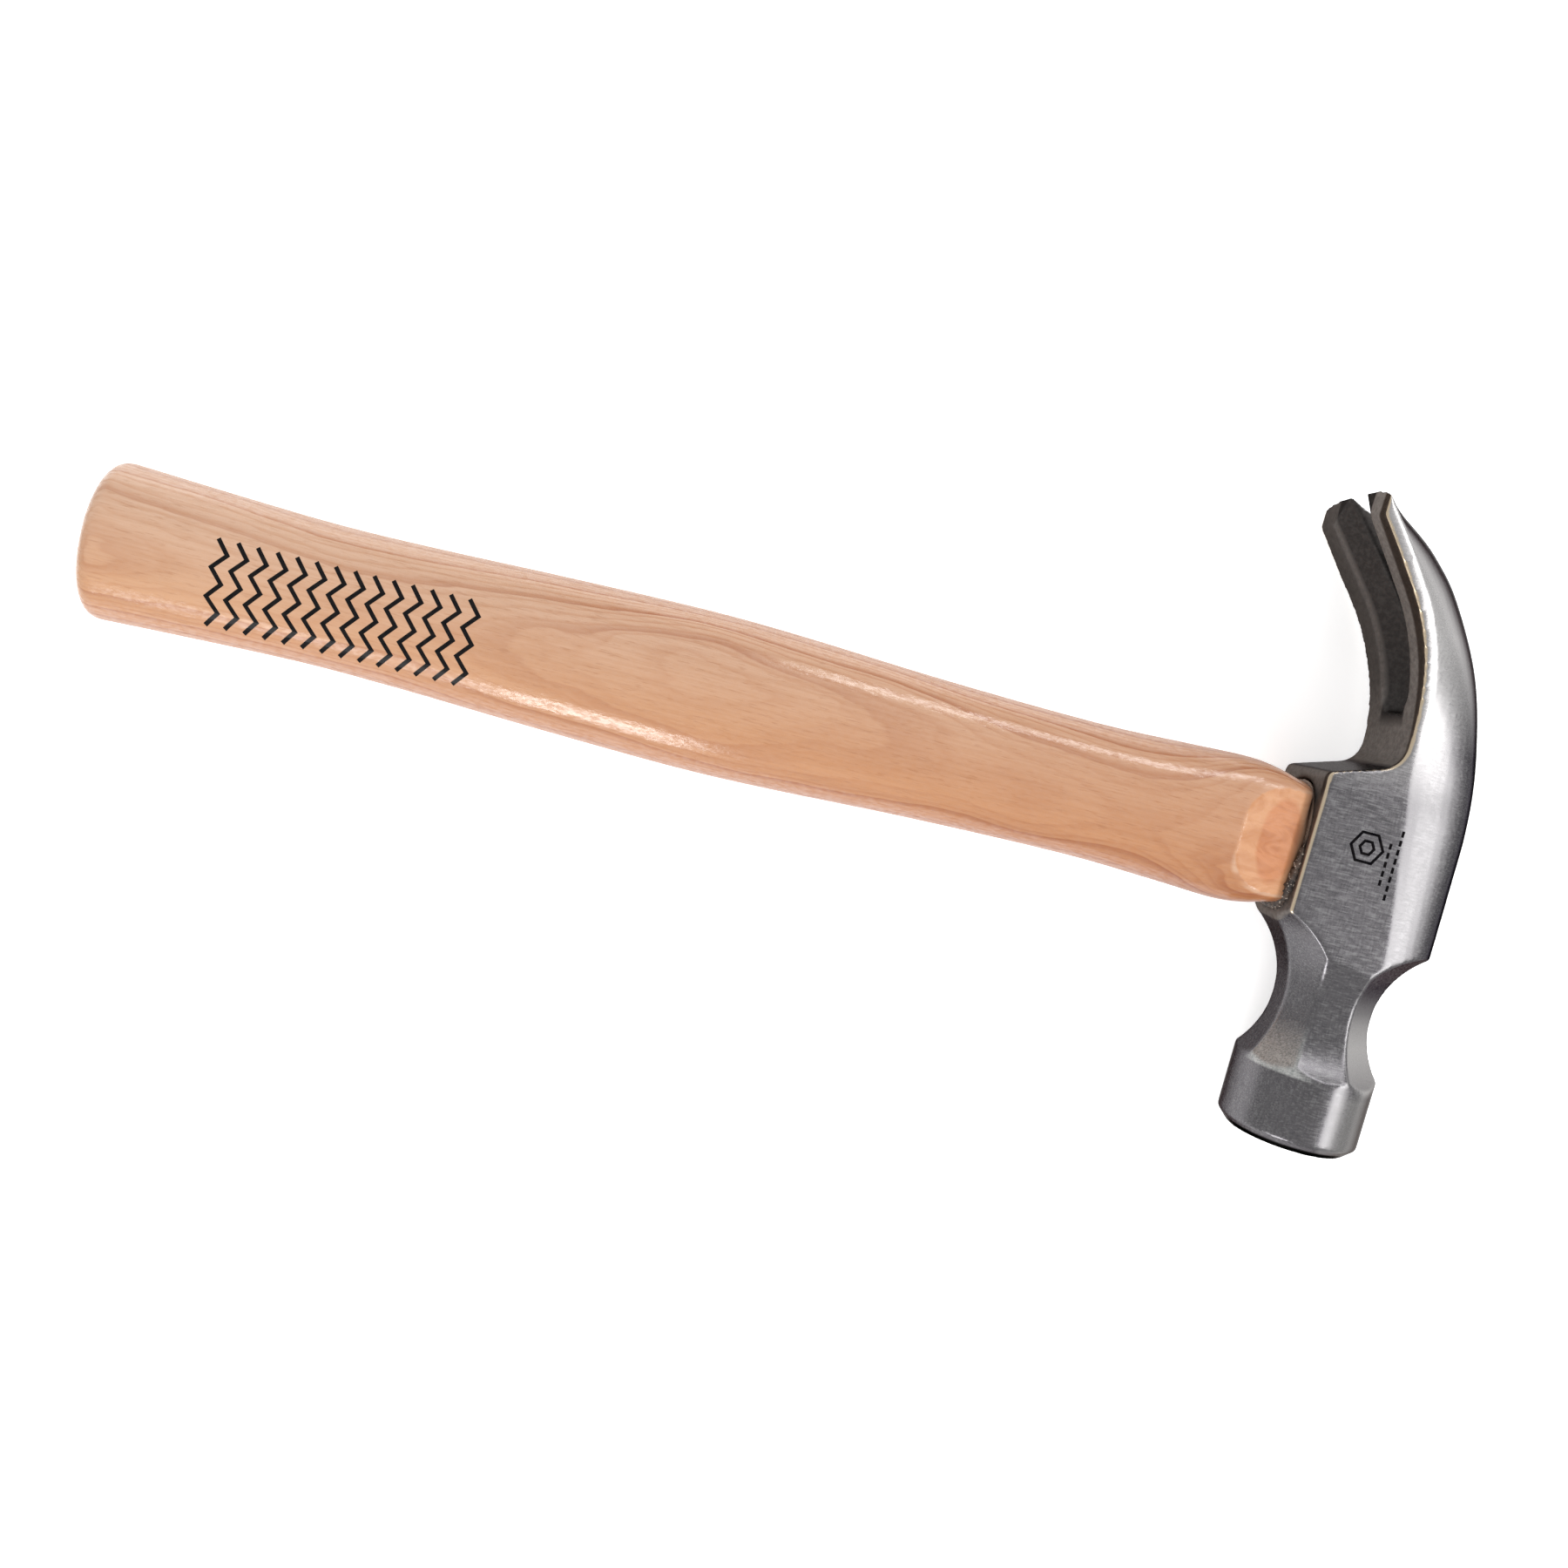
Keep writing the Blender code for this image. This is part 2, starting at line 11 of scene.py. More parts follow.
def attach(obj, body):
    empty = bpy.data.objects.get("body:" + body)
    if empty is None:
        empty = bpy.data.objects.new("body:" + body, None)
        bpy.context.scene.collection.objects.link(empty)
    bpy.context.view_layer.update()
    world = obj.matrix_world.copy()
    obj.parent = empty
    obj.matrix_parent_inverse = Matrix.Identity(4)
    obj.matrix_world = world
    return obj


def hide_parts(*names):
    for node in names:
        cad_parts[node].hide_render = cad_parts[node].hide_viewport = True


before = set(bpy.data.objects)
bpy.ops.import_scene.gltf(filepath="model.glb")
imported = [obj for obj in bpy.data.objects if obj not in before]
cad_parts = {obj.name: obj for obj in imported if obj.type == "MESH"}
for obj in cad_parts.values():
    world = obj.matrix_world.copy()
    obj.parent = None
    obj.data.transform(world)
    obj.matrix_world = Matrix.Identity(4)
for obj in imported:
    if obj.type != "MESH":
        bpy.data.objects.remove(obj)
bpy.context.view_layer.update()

MM = 0.001

# ---- camera ------------------------------------------------------------------------------
CAMERA_PLACE = (-9.65 * MM, 4.70 * MM, 307.87 * MM)
CAMERA_RIGHT = Vector((0.96817, 0.24898, 0.02564))      # the picture's right, in the frame
CAMERA_DOWN = Vector((0.24563, -0.96480, 0.09396))      # and its downward direction
LENS = 32.455                                           # on a 36 mm sensor


def build_camera():
    data = bpy.data.cameras.new("camera")
    data.lens = LENS
    data.sensor_width = 36.0
    data.clip_start = 0.01
    camera = bpy.data.objects.new("camera", data)
    bpy.context.scene.collection.objects.link(camera)
    back = CAMERA_RIGHT.cross(CAMERA_DOWN) * -1
    turn = Matrix((CAMERA_RIGHT, -CAMERA_DOWN, back)).transposed()
    camera.matrix_world = Matrix.Translation(CAMERA_PLACE) @ turn.to_4x4()
    bpy.context.scene.camera = camera


# ---- sizes in mm -------------------------------------------------------------------------
HEAD_MIDDLE = 15.84             # Z of the plane through the handle and the nail slot
HANDLE_MIDDLE = -5.8            # Y of the handle's axis
UNDERSIDE = 109.82              # X of the head's flat side towards the handle
SHOULDER = (96.82, 11.2)        # X where the planed flats begin, and their height off the middle
SHOULDER_SLOPE = math.tan(math.radians(12))
FLAT_CENTRE = 7.6               # how far the darker patch on a flat lies from its start
FLAT_PATCH = (4.6, 9.0)         # half that patch's length and height
HEART_HEIGHT = -27.0            # Z of the heart of the tree that the handle was sawn from
RING_SPACING = 2.1

POLL_TOP = -52.0                # Y where the neck meets the poll
CHAMFER_RIM = (-65.6, -66.1)    # Y over which the chamfer round the striking face darkens
CLAW_START = 4.0                # Y where the underside turns up into the claw
TROUGH_END = 24.0               # Y of the inner end of the claw's trough
TROUGH_SPAN = (28.0, 67.0)      # Y over which the trough widens towards the tips
TROUGH_HALF_WIDTHS = (5.2, 8.6)

ZIGZAG_ROWS = 14
ZIGZAG_CORNERS = 7
ZIGZAG_START = (-114.43, 0.14)  # X, Y of the first row's first corner
ZIGZAG_PITCH = 3.82
ZIGZAG_CLIMB = 0.055            # each row starts this much higher
ZIGZAG_SWING = 2.5
ZIGZAG_DROP = 2.86
ZIGZAG_HALF_WIDTH = 0.42        # of its line

MARK_CENTRE = (121.4, -2.6)
MARK_RADII = (3.4, 1.5)         # of the two hexagons
MARK_ROWS = ((126.0, -0.6, 5), (127.8, 2.4, 8))     # X, first Y, dashes
DASH_PITCH = 1.9
DASH_LENGTH = 1.25
MARK_HALF_WIDTH = 0.28

PRINT_RISE = 0.03 * MM          # a print's top over the surface
PRINT_SINK = 0.08 * MM          # and its lower side under it
PRINT_STEP = 0.7                # mm between the spots where it is laid on the surface
ABOVE_ALL = 0.06                # metres, higher than the whole hammer

BEAD_STEPS = 46                 # along a bead of adhesive
BEAD_CORNERS = 12               # round it
BEAD_PATH = (12.9, 9.7)         # half height and half thickness of the oval that it follows
BEAD_TURN = (-8, 90)            # degrees, from the poll side up to the middle
BEAD_RADII = (1.7, 1.2)         # at its two ends, before they are rounded off
BEAD_BELOW = 0.15               # how far its middle lies under the underside
BEAD_FLATNESS = 0.9

FLOOR_SIZE = 6.0
FLOOR_GLOW = 0.46               # lifts the white floor to plain white, as a studio sweep is
WORLD_STRENGTH = 0.93
LIGHTS = (                      # name, place, target, size, power in watts
    ("right_strip", (0.76, -0.05, 0.70), (0.12, 0, 0.02), (0.7, 0.16), 4.2),
    ("claw_strip", (0.60, 0.50, 0.70), (0.12, 0.02, 0.02), (0.45, 0.16), 1.7),
    ("front_long", (-0.26, -0.9, 0.47), (-0.06, 0, 0.02), (0.50, 0.30), 2.2),
    ("front_box", (-0.15, -0.88, 0.47), (-0.04, 0, 0.02), (0.20, 0.34), 2.0),
    ("back_box", (0.28, 0.9, 0.70), (0.05, 0, 0.02), (0.34, 0.22), 2.0),
)


# ---- node helpers ------------------------------------------------------------------------
class Nodes:
    """Short calls that add nodes to one material."""

    def __init__(self, name):
        self.material = bpy.data.materials.new(name)
        self.material.use_nodes = True
        self.tree = self.material.node_tree
        self.shader = self.tree.nodes["Principled BSDF"]
        self.place = self.add("ShaderNodeTexCoord").outputs["Object"]

    def add(self, kind, **settings):
        node = self.tree.nodes.new(kind)
        for key, value in settings.items():
            setattr(node, key, value)
        return node

    def feed(self, socket, value):
        if isinstance(value, bpy.types.NodeSocket):
            self.tree.links.new(value, socket)
        else:
            socket.default_value = value

    def math(self, operation, a, b=0.0):
        node = self.add("ShaderNodeMath", operation=operation)
        self.feed(node.inputs[0], a)
        self.feed(node.inputs[1], b)
        return node.outputs[0]

    def times(self, first, *others):
        product = first
        for other in others:
            product = self.math("MULTIPLY", product, other)
        return product

    def split(self, vector):
        node = self.add("ShaderNodeSeparateXYZ")
        self.feed(node.inputs[0], vector)
        return node.outputs[0], node.outputs[1], node.outputs[2]

    def place_in_mm(self):
        return self.split(self.stretched((1000, 1000, 1000)))

    def normal(self):
        return self.split(self.add("ShaderNodeNewGeometry").outputs["Normal"])

    def far(self, a, b):
        """The length of the flat vector (a, b)."""
        return self.math("SQRT", self.math("ADD", self.times(a, a), self.times(b, b)))

    def stretched(self, scale, turn=(0, 0, 0)):
        node = self.add("ShaderNodeMapping")
        self.feed(node.inputs["Vector"], self.place)
        node.inputs["Scale"].default_value = scale
        node.inputs["Rotation"].default_value = turn
        return node.outputs[0]

    def noise(self, vector, scale, detail, roughness, distortion=0.0):
        node = self.add("ShaderNodeTexNoise")
        self.feed(node.inputs["Vector"], vector)
        node.inputs["Scale"].default_value = scale
        node.inputs["Detail"].default_value = detail
        node.inputs["Roughness"].default_value = roughness
        node.inputs["Distortion"].default_value = distortion
        return node.outputs[0]

    def ramp(self, value, low, high, to_low=0.0, to_high=1.0):
        """Runs from to_low to to_high as the value goes from low to high, and stays there."""
        node = self.add("ShaderNodeMapRange")
        self.feed(node.inputs[0], value)
        for index, number in enumerate((low, high, to_low, to_high), 1):
            node.inputs[index].default_value = number
        return node.outputs[0]

    def mix(self, share, first, second, blend="MIX"):
        node = self.add("ShaderNodeMix", data_type="RGBA", blend_type=blend)
        self.feed(node.inputs[0], share)
        self.feed(node.inputs[6], first)
        self.feed(node.inputs[7], second)
        return node.outputs[2]

    def bump(self, height, strength, distance):
        node = self.add("ShaderNodeBump")
        self.feed(node.inputs["Height"], height)
        node.inputs["Strength"].default_value = strength
        node.inputs["Distance"].default_value = distance
        return node.outputs[0]


def rgb(r, g, b):
    return (r, g, b, 1.0)


# ---- materials ---------------------------------------------------------------------------
def ground_faces(m, marks, clouds):
    """Scratched satin steel: its colour with painted highlights and painted shade, and the mask
    of the crown's painted highlight.
    """
    _, y, _ = m.place_in_mm()
    nx, ny, nz = m.normal()
    flat = m.math("ABSOLUTE", nz)
    colour = m.mix(m.ramp(clouds, 0.3, 0.7), rgb(0.118, 0.112, 0.119), rgb(0.095, 0.091, 0.096))
    colour = m.mix(m.ramp(marks, 0.50, 0.62, 0.0, 0.50), colour, rgb(0.21, 0.21, 0.21))
    colour = m.mix(m.ramp(marks, 0.46, 0.36, 0.0, 0.50), colour, rgb(0.060, 0.060, 0.065))

    # painted highlight where the sides begin to turn up to the crown, painted shade on the crown
    # itself
    crown_highlight = m.times(m.ramp(nx, 0.04, 0.12), m.ramp(nx, 0.42, 0.16))
    colour = m.mix(m.times(crown_highlight, 0.68), colour, rgb(0.215, 0.21, 0.212))
    on_neck = m.times(m.ramp(y, -36.5, -39.0), m.ramp(y, POLL_TOP - 1.0, POLL_TOP + 0.5))
    shaded = m.times(m.ramp(nx, 0.32, 0.72, 0.0, 0.9), m.ramp(on_neck, 0.0, 1.0, 1.0, 0.1),
                     m.ramp(ny, -0.50, -0.25))
    colour = m.mix(shaded, colour, rgb(0.030, 0.031, 0.039))

    # painted highlight along the claw's sides
    claw_flat_highlight = m.times(m.ramp(y, 8.0, 24.0), m.ramp(nx, 0.25, 0.12), m.ramp(flat, 0.88, 0.96))
    colour = m.mix(m.times(claw_flat_highlight, 0.8), colour, rgb(0.37, 0.36, 0.36))
    claw_side_highlight = m.times(m.ramp(y, 20.0, 42.0), m.ramp(nx, 0.0, 0.1), m.ramp(flat, 0.60, 0.91))
    colour = m.mix(m.times(claw_side_highlight, 0.85), colour, rgb(0.50, 0.49, 0.485))

    # painted highlight on the neck's and the poll's sides towards the crown
    neck_side_highlight = m.times(m.ramp(y, -30.0, -44.0), m.ramp(y, POLL_TOP - 2.5, POLL_TOP + 0.5),
                        m.ramp(nx, 0.35, 0.6))
    colour = m.mix(m.times(neck_side_highlight, 0.8), colour, rgb(0.34, 0.335, 0.33))
    poll_side_painted_light = m.times(m.ramp(y, POLL_TOP, POLL_TOP - 2.0), m.ramp(nx, 0.15, 0.40, 0.0, 0.7))
    return m.mix(poll_side_painted_light, colour, rgb(0.25, 0.245, 0.24)), crown_highlight


def forged_steel():
    """Ground satin steel; the faces towards the handle keep a darker, rougher forged skin."""
    m = Nodes("forged_steel")
    m.shader.inputs["Metallic"].default_value = 1.0
    m.shader.inputs["Specular Tint"].default_value = rgb(0.24, 0.225, 0.22)
    hatch = m.noise(m.stretched((420, 3600, 3600), (0, 0, math.radians(-12))), 1.0, 3.0, 0.6)
    cross = m.noise(m.stretched((3000, 500, 3000), (0, 0, math.radians(-35))), 1.0, 2.0, 0.6)
    marks = m.math("ADD", m.times(hatch, 0.7), m.times(cross, 0.3))
    clouds = m.noise(m.place, 60.0, 4.0, 0.6)
    pits = m.noise(m.place, 900.0, 3.0, 0.7)
    # the satin steel's colour, with its painted highlights and painted shade
    ground_and_painted_light, crown_highlight = ground_faces(m, marks, clouds)

    x, y, z = m.place_in_mm()
    nx, ny, nz = m.normal()
    off_middle = m.math("SUBTRACT", z, HEAD_MIDDLE)
    outward = m.times(nz, m.math("SIGN", off_middle))

    # the forged skin on the underside and inside the claw, with painted shade on the lower tine
    near_cheek = m.ramp(x, UNDERSIDE + 1.0, UNDERSIDE + 0.6)
    claw = m.ramp(y, CLAW_START, CLAW_START + 3.0)
    inner = m.times(m.ramp(nx, -0.45, -0.7), m.math("MAXIMUM", near_cheek, claw))
    skin = m.mix(m.ramp(pits, 0.35, 0.65), rgb(0.19, 0.172, 0.160), rgb(0.13, 0.118, 0.110))
    lower_tine_shade = m.times(m.ramp(off_middle, 1.0, 0.0), m.ramp(y, 20.0, 32.0, 0.0, 0.6))
    skin = m.mix(lower_tine_shade, skin, rgb(0.055, 0.050, 0.048))
    colour = m.mix(inner, ground_and_painted_light, skin)

    # painted shade in the trough, a dark painted shade beside it and a bright painted glint on
    # the edge outside that
    reach = m.ramp(y, *TROUGH_SPAN, *TROUGH_HALF_WIDTHS)
    out_of_trough = m.math("SUBTRACT", m.math("ABSOLUTE", off_middle), reach)
    inner_edge_shade = m.times(m.ramp(out_of_trough, 4.3, 5.0), m.times(inner, claw),
                   m.ramp(off_middle, 0.0, 1.0))
    colour = m.mix(m.times(inner_edge_shade, 0.8), colour, rgb(0.028, 0.020, 0.015))
    claw_edge = m.times(m.ramp(out_of_trough, 2.8, 3.4), claw)
    cheek_edge = m.times(near_cheek, m.ramp(y, -39.5, -38.0))
    edge_glint = m.times(m.math("MAXIMUM", claw_edge, cheek_edge),
                   m.times(m.ramp(nx, -0.12, -0.3), m.ramp(outward, 0.35, 0.6)))
    colour = m.mix(m.times(edge_glint, 0.8), colour, rgb(0.55, 0.45, 0.32))
    trough_shade = m.mix(m.ramp(pits, 0.4, 0.65), rgb(0.034, 0.031, 0.030), rgb(0.050, 0.046, 0.044))
    trough = m.times(m.ramp(out_of_trough, 0.3, -0.5),
                     m.times(m.ramp(y, TROUGH_END - 1.5, TROUGH_END + 1.5),
                             m.ramp(nx, 0.25, 0.1)))
    colour = m.mix(trough, colour, trough_shade)

    # painted light on the neck's hollow facets, and black painted shade on the chamfer round the
    # striking face
    hollow = m.times(m.ramp(nx, -0.15, -0.45), m.ramp(y, -41.0, -49.0),
                     m.times(m.ramp(y, POLL_TOP, POLL_TOP + 0.5), m.ramp(outward, 0.2, 0.5)))
    hollow_light = m.mix(m.ramp(marks, 0.4, 0.6), rgb(0.24, 0.25, 0.245), rgb(0.44, 0.44, 0.43))
    colour = m.mix(hollow, colour, hollow_light)
    chamfer_shade = m.times(m.ramp(ny, -0.2, -0.45), m.ramp(ny, -0.98, -0.93), m.ramp(y, *CHAMFER_RIM))
    colour = m.mix(chamfer_shade, colour, rgb(0.012, 0.012, 0.012))
    m.feed(m.shader.inputs["Base Color"], colour)

    dull = m.math("MAXIMUM", inner, trough)
    rough = m.math("ADD", m.ramp(marks, 0.35, 0.65, 0.23, 0.34),
                   m.times(m.math("MAXIMUM", dull, hollow), 0.24))
    rough = m.math("ADD", rough, m.times(crown_highlight, 0.09))
    m.feed(m.shader.inputs["Roughness"], rough)
    height = m.math("ADD", marks, m.times(dull, m.times(pits, 1.2)))
    m.feed(m.shader.inputs["Normal"], m.bump(height, 0.18, 0.03 * MM))
    return m.material


def grown_wood(m, fibres, sway, ripple):
    """Flat-sawn hardwood: its colour, and the dark late wood of its yearly rings."""
    _, y, z = m.place_in_mm()
    nx, ny, _ = m.normal()
    flecks = m.noise(m.stretched((260, 2400, 2400)), 1.0, 2.0, 0.6)
    clouds = m.noise(m.stretched((9, 35, 35)), 1.0, 3.0, 0.5)

    # yearly rings about a heart that lies below the handle
    ring = m.far(m.math("SUBTRACT", y, HANDLE_MIDDLE), m.math("SUBTRACT", z, HEART_HEIGHT))
    ring = m.math("ADD", ring, m.times(sway, 11.0))
    ring = m.math("ADD", ring, m.times(ripple, 1.2))
    year = m.math("FRACT", m.math("DIVIDE", ring, RING_SPACING))
    late = m.math("POWER", m.times(m.ramp(year, 0.45, 0.92), m.ramp(year, 1.0, 0.94)), 2.6)
    faint = m.math("FRACT", m.math("DIVIDE", ring, RING_SPACING / 3.3))
    faint = m.times(m.ramp(faint, 0.5, 0.9), m.ramp(faint, 1.0, 0.9))
    flank = m.ramp(m.math("ABSOLUTE", ny), 0.15, 0.70, 0.32, 1.0)
    strength = m.times(flank, m.ramp(clouds, 0.35, 0.6, 0.55, 1.0))

    lower = m.ramp(m.math("ADD", y, m.times(clouds, 14.0)), 9.0, -8.0)
    colour = m.mix(lower, rgb(0.520, 0.305, 0.192), rgb(0.485, 0.240, 0.118))
    colour = m.mix(m.times(late, strength), colour, rgb(0.29, 0.085, 0.026))
    colour = m.mix(m.times(faint, m.times(strength, 0.7)), colour, rgb(0.37, 0.145, 0.058))
    colour = m.mix(m.ramp(fibres, 0.42, 0.70, 0.0, 0.35), colour, rgb(0.37, 0.165, 0.072))
    colour = m.mix(m.ramp(flecks, 0.58, 0.70, 0.0, 0.35), colour, rgb(0.31, 0.125, 0.052))
    ends = m.ramp(m.math("ABSOLUTE", nx), 0.80, 0.95, 0.0, 0.35)
    return m.mix(ends, colour, rgb(0.34, 0.17, 0.085)), late


def planed_flats(m, colour, ripple):
    """The planed flats by the head: darker wood inside a pale torn edge."""
    x, y, z = m.place_in_mm()
    run = m.math("SUBTRACT", x, SHOULDER[0])
    plane = m.math("SUBTRACT", SHOULDER[1], m.times(run, SHOULDER_SLOPE))
    above = m.math("SUBTRACT", m.math("ABSOLUTE", m.math("SUBTRACT", z, HEAD_MIDDLE)), plane)
    near_head = m.ramp(run, -1.5, -0.5)
    planed = m.times(m.ramp(above, -0.10, -0.04), near_head)
    torn = m.times(m.ramp(above, -0.45, -0.2), near_head, m.ramp(ripple, 0.42, 0.52))
    colour = m.mix(m.times(torn, 0.7), colour, rgb(0.62, 0.42, 0.30))

    swirl = m.noise(m.stretched((120, 240, 240)), 1.0, 3.0, 0.6, 1.0)
    patch = m.far(m.math("DIVIDE", m.math("SUBTRACT", run, FLAT_CENTRE), FLAT_PATCH[0]),
                  m.math("DIVIDE", m.math("SUBTRACT", y, HANDLE_MIDDLE), FLAT_PATCH[1]))
    patch = m.ramp(m.math("ADD", patch, m.times(swirl, 0.3)), 1.2, 1.05)
    streaks = m.ramp(swirl, 0.44, 0.60)
    pale = m.mix(streaks, rgb(0.60, 0.33, 0.185), rgb(0.51, 0.25, 0.125))
    dark = m.mix(streaks, rgb(0.53, 0.215, 0.095), rgb(0.41, 0.145, 0.056))
    bare = m.mix(m.times(patch, 0.8), pale, dark)
    colour = m.mix(m.times(planed, 0.85), colour, bare)
    # painted shade on the wood just by the head
    head_shade = m.ramp(x, UNDERSIDE - 2.4, UNDERSIDE - 0.5, 0.0, 0.65)
    return m.mix(head_shade, colour, rgb(0.20, 0.125, 0.090)), planed


def lacquered_wood():
    """Pale hardwood under a thick gloss lacquer, which is nearly gone on the planed flats."""
    m = Nodes("lacquered_wood")
    x, _, _ = m.place_in_mm()
    _, ny, nz = m.normal()
    flat = m.math("ABSOLUTE", nz)
    sway = m.noise(m.stretched((8, 16, 16)), 1.0, 2.0, 0.5)
    ripple = m.noise(m.stretched((40, 160, 160)), 1.0, 3.0, 0.55)
    fibres = m.noise(m.stretched((30, 1300, 1300)), 1.0, 3.0, 0.65)
    colour, late = grown_wood(m, fibres, sway, ripple)
    colour, planed = planed_flats(m, colour, ripple)

    # darker and redder towards the head, partly the wood's tone and partly painted shade against
    # the lamps' extra light there; painted shade along the edges
    head_end_shade_and_tone = m.mix(m.ramp(x, -110.0, 85.0), rgb(1.01, 1.10, 1.20), rgb(0.81, 0.75, 0.69))
    colour = m.mix(1.0, colour, head_end_shade_and_tone, "MULTIPLY")
    edge = m.mix(m.ramp(flat, 0.05, 0.60), rgb(0.72, 0.60, 0.50), rgb(1, 1, 1))
    colour = m.mix(1.0, colour, edge, "MULTIPLY")
    # painted shade on the handle's side facing the poll
    poll_side_painted_light = m.mix(m.ramp(ny, -0.40, -0.85), rgb(1, 1, 1), rgb(0.84, 0.73, 0.63))
    colour = m.mix(1.0, colour, poll_side_painted_light, "MULTIPLY")
    m.feed(m.shader.inputs["Base Color"], colour)

    rough = m.math("ADD", m.ramp(fibres, 0.3, 0.7, 0.42, 0.55), m.times(planed, 0.25))
    m.feed(m.shader.inputs["Roughness"], rough)
    m.feed(m.shader.inputs["Normal"], m.bump(m.math("ADD", fibres, late), 0.12, 0.05 * MM))
    m.shader.inputs["Specular IOR Level"].default_value = 0.2
    mottle = m.noise(m.stretched((700, 1500, 1500)), 1.0, 2.0, 0.6)
    coat = m.times(m.ramp(mottle, 0.38, 0.60, 0.40, 1.0), m.ramp(planed, 0.0, 1.0, 1.0, 0.1),
                   m.ramp(flat, 0.10, 0.55, 0.25, 1.0))
    m.feed(m.shader.inputs["Coat Weight"], coat)
    m.shader.inputs["Coat Roughness"].default_value = 0.15
    peel = m.noise(m.stretched((450, 900, 900)), 1.0, 2.0, 0.6)
    peel = m.math("ADD", peel, m.times(fibres, 0.5))
    m.feed(m.shader.inputs["Coat Normal"], m.bump(peel, 0.45, 0.09 * MM))
    return m.material


def raw_wood():
    m = Nodes("wedge_wood")
    fibres = m.noise(m.stretched((60, 1400, 1400)), 1.0, 3.0, 0.6)
    colour = m.mix(m.ramp(fibres, 0.35, 0.7), rgb(0.52, 0.33, 0.18), rgb(0.36, 0.20, 0.10))
    m.feed(m.shader.inputs["Base Color"], colour)
    m.shader.inputs["Roughness"].default_value = 0.75
    m.feed(m.shader.inputs["Normal"], m.bump(fibres, 0.3, 0.08 * MM))
    return m.material


def wedge_steel():
    m = Nodes("wedge_steel")
    m.shader.inputs["Metallic"].default_value = 1.0
    spots = m.noise(m.place, 700.0, 3.0, 0.6)
    colour = m.mix(m.ramp(spots, 0.4, 0.65), rgb(0.36, 0.35, 0.34), rgb(0.26, 0.23, 0.21))
    m.feed(m.shader.inputs["Base Color"], colour)
    m.feed(m.shader.inputs["Roughness"], m.ramp(spots, 0.3, 0.7, 0.35, 0.6))
    m.feed(m.shader.inputs["Normal"], m.bump(spots, 0.3, 0.05 * MM))
    return m.material


def gritty_adhesive():
    m = Nodes("adhesive")
    grains = m.noise(m.place, 1700.0, 2.0, 0.6)
    lumps = m.noise(m.place, 500.0, 3.0, 0.6)
    _, y, _ = m.place_in_mm()
    specks = m.times(m.ramp(grains, 0.60, 0.65), m.ramp(y, -1.0, -8.0, 0.15, 1.0))
    colour = m.mix(m.ramp(lumps, 0.4, 0.6), rgb(0.018, 0.012, 0.009), rgb(0.070, 0.042, 0.028))
    colour = m.mix(m.ramp(y, -6.0, 0.0), colour, rgb(0.15, 0.095, 0.065))
    colour = m.mix(specks, colour, rgb(0.45, 0.38, 0.32))
    m.feed(m.shader.inputs["Base Color"], colour)
    m.shader.inputs["Roughness"].default_value = 0.6
    m.feed(m.shader.inputs["Normal"], m.bump(m.math("ADD", grains, lumps), 0.9, 0.2 * MM))
    return m.material


def black_ink(name, roughness, coat):
    m = Nodes(name)
    specks = m.noise(m.place, 900.0, 3.0, 0.6)
    colour = m.mix(m.ramp(specks, 0.35, 0.7), rgb(0.002, 0.002, 0.003), rgb(0.008, 0.007, 0.007))
    m.feed(m.shader.inputs["Base Color"], colour)
    m.shader.inputs["Roughness"].default_value = roughness
    m.shader.inputs["Specular IOR Level"].default_value = 0.0
    m.shader.inputs["Coat Weight"].default_value = coat
    m.shader.inputs["Coat Roughness"].default_value = 0.14
    return m.material


# ---- meshes ------------------------------------------------------------------------------
def new_piece(name, mesh):
    piece = bpy.data.objects.new(name, mesh)
    bpy.context.scene.collection.objects.link(piece)
    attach(piece, "root")
    return piece


def skin_rings(shape, rings, closed=False):
    """Joins each ring of corners to the next, and caps the ends of an open row."""
    following = rings[1:] + rings[:1] if closed else rings[1:]
    for first, second in zip(rings, following):
        for a in range(len(first)):
            b = (a + 1) % len(first)
            shape.faces.new((first[a], first[b], second[b], second[a]))
    if not closed:
        shape.faces.new(reversed(rings[0]))
        shape.faces.new(rings[-1])


def finished_mesh(name, shape, material):
    bmesh.ops.recalc_face_normals(shape, faces=shape.faces)
    mesh = bpy.data.meshes.new(name)
    shape.to_mesh(mesh)
    shape.free()
    mesh.materials.append(material)
    return mesh


def evenly_meshed(node, name, material, voxel, smoothing):
    """The CAD node's shape as a fine even mesh with softened edges, which stands for it."""
    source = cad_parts[node]
    welded = bmesh.new()
    welded.from_mesh(source.data)
    bmesh.ops.remove_doubles(welded, verts=welded.verts, dist=0.001 * MM)
    mesh = bpy.data.meshes.new(name)
    welded.to_mesh(mesh)
    welded.free()
    draft = bpy.data.objects.new(name + "_draft", mesh)
    bpy.context.scene.collection.objects.link(draft)
    remesh = draft.modifiers.new("even", "REMESH")
    remesh.mode = "VOXEL"
    remesh.voxel_size = voxel
    soften = draft.modifiers.new("soften", "SMOOTH")
    soften.factor = 0.5
    soften.iterations = smoothing
    graph = bpy.context.evaluated_depsgraph_get()
    fine = bpy.data.meshes.new_from_object(draft.evaluated_get(graph))
    bpy.data.objects.remove(draft, do_unlink=True)
    fine.materials.clear()
    fine.materials.append(material)
    fine.shade_smooth()
    piece = new_piece(name, fine)
    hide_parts(node)
    return piece


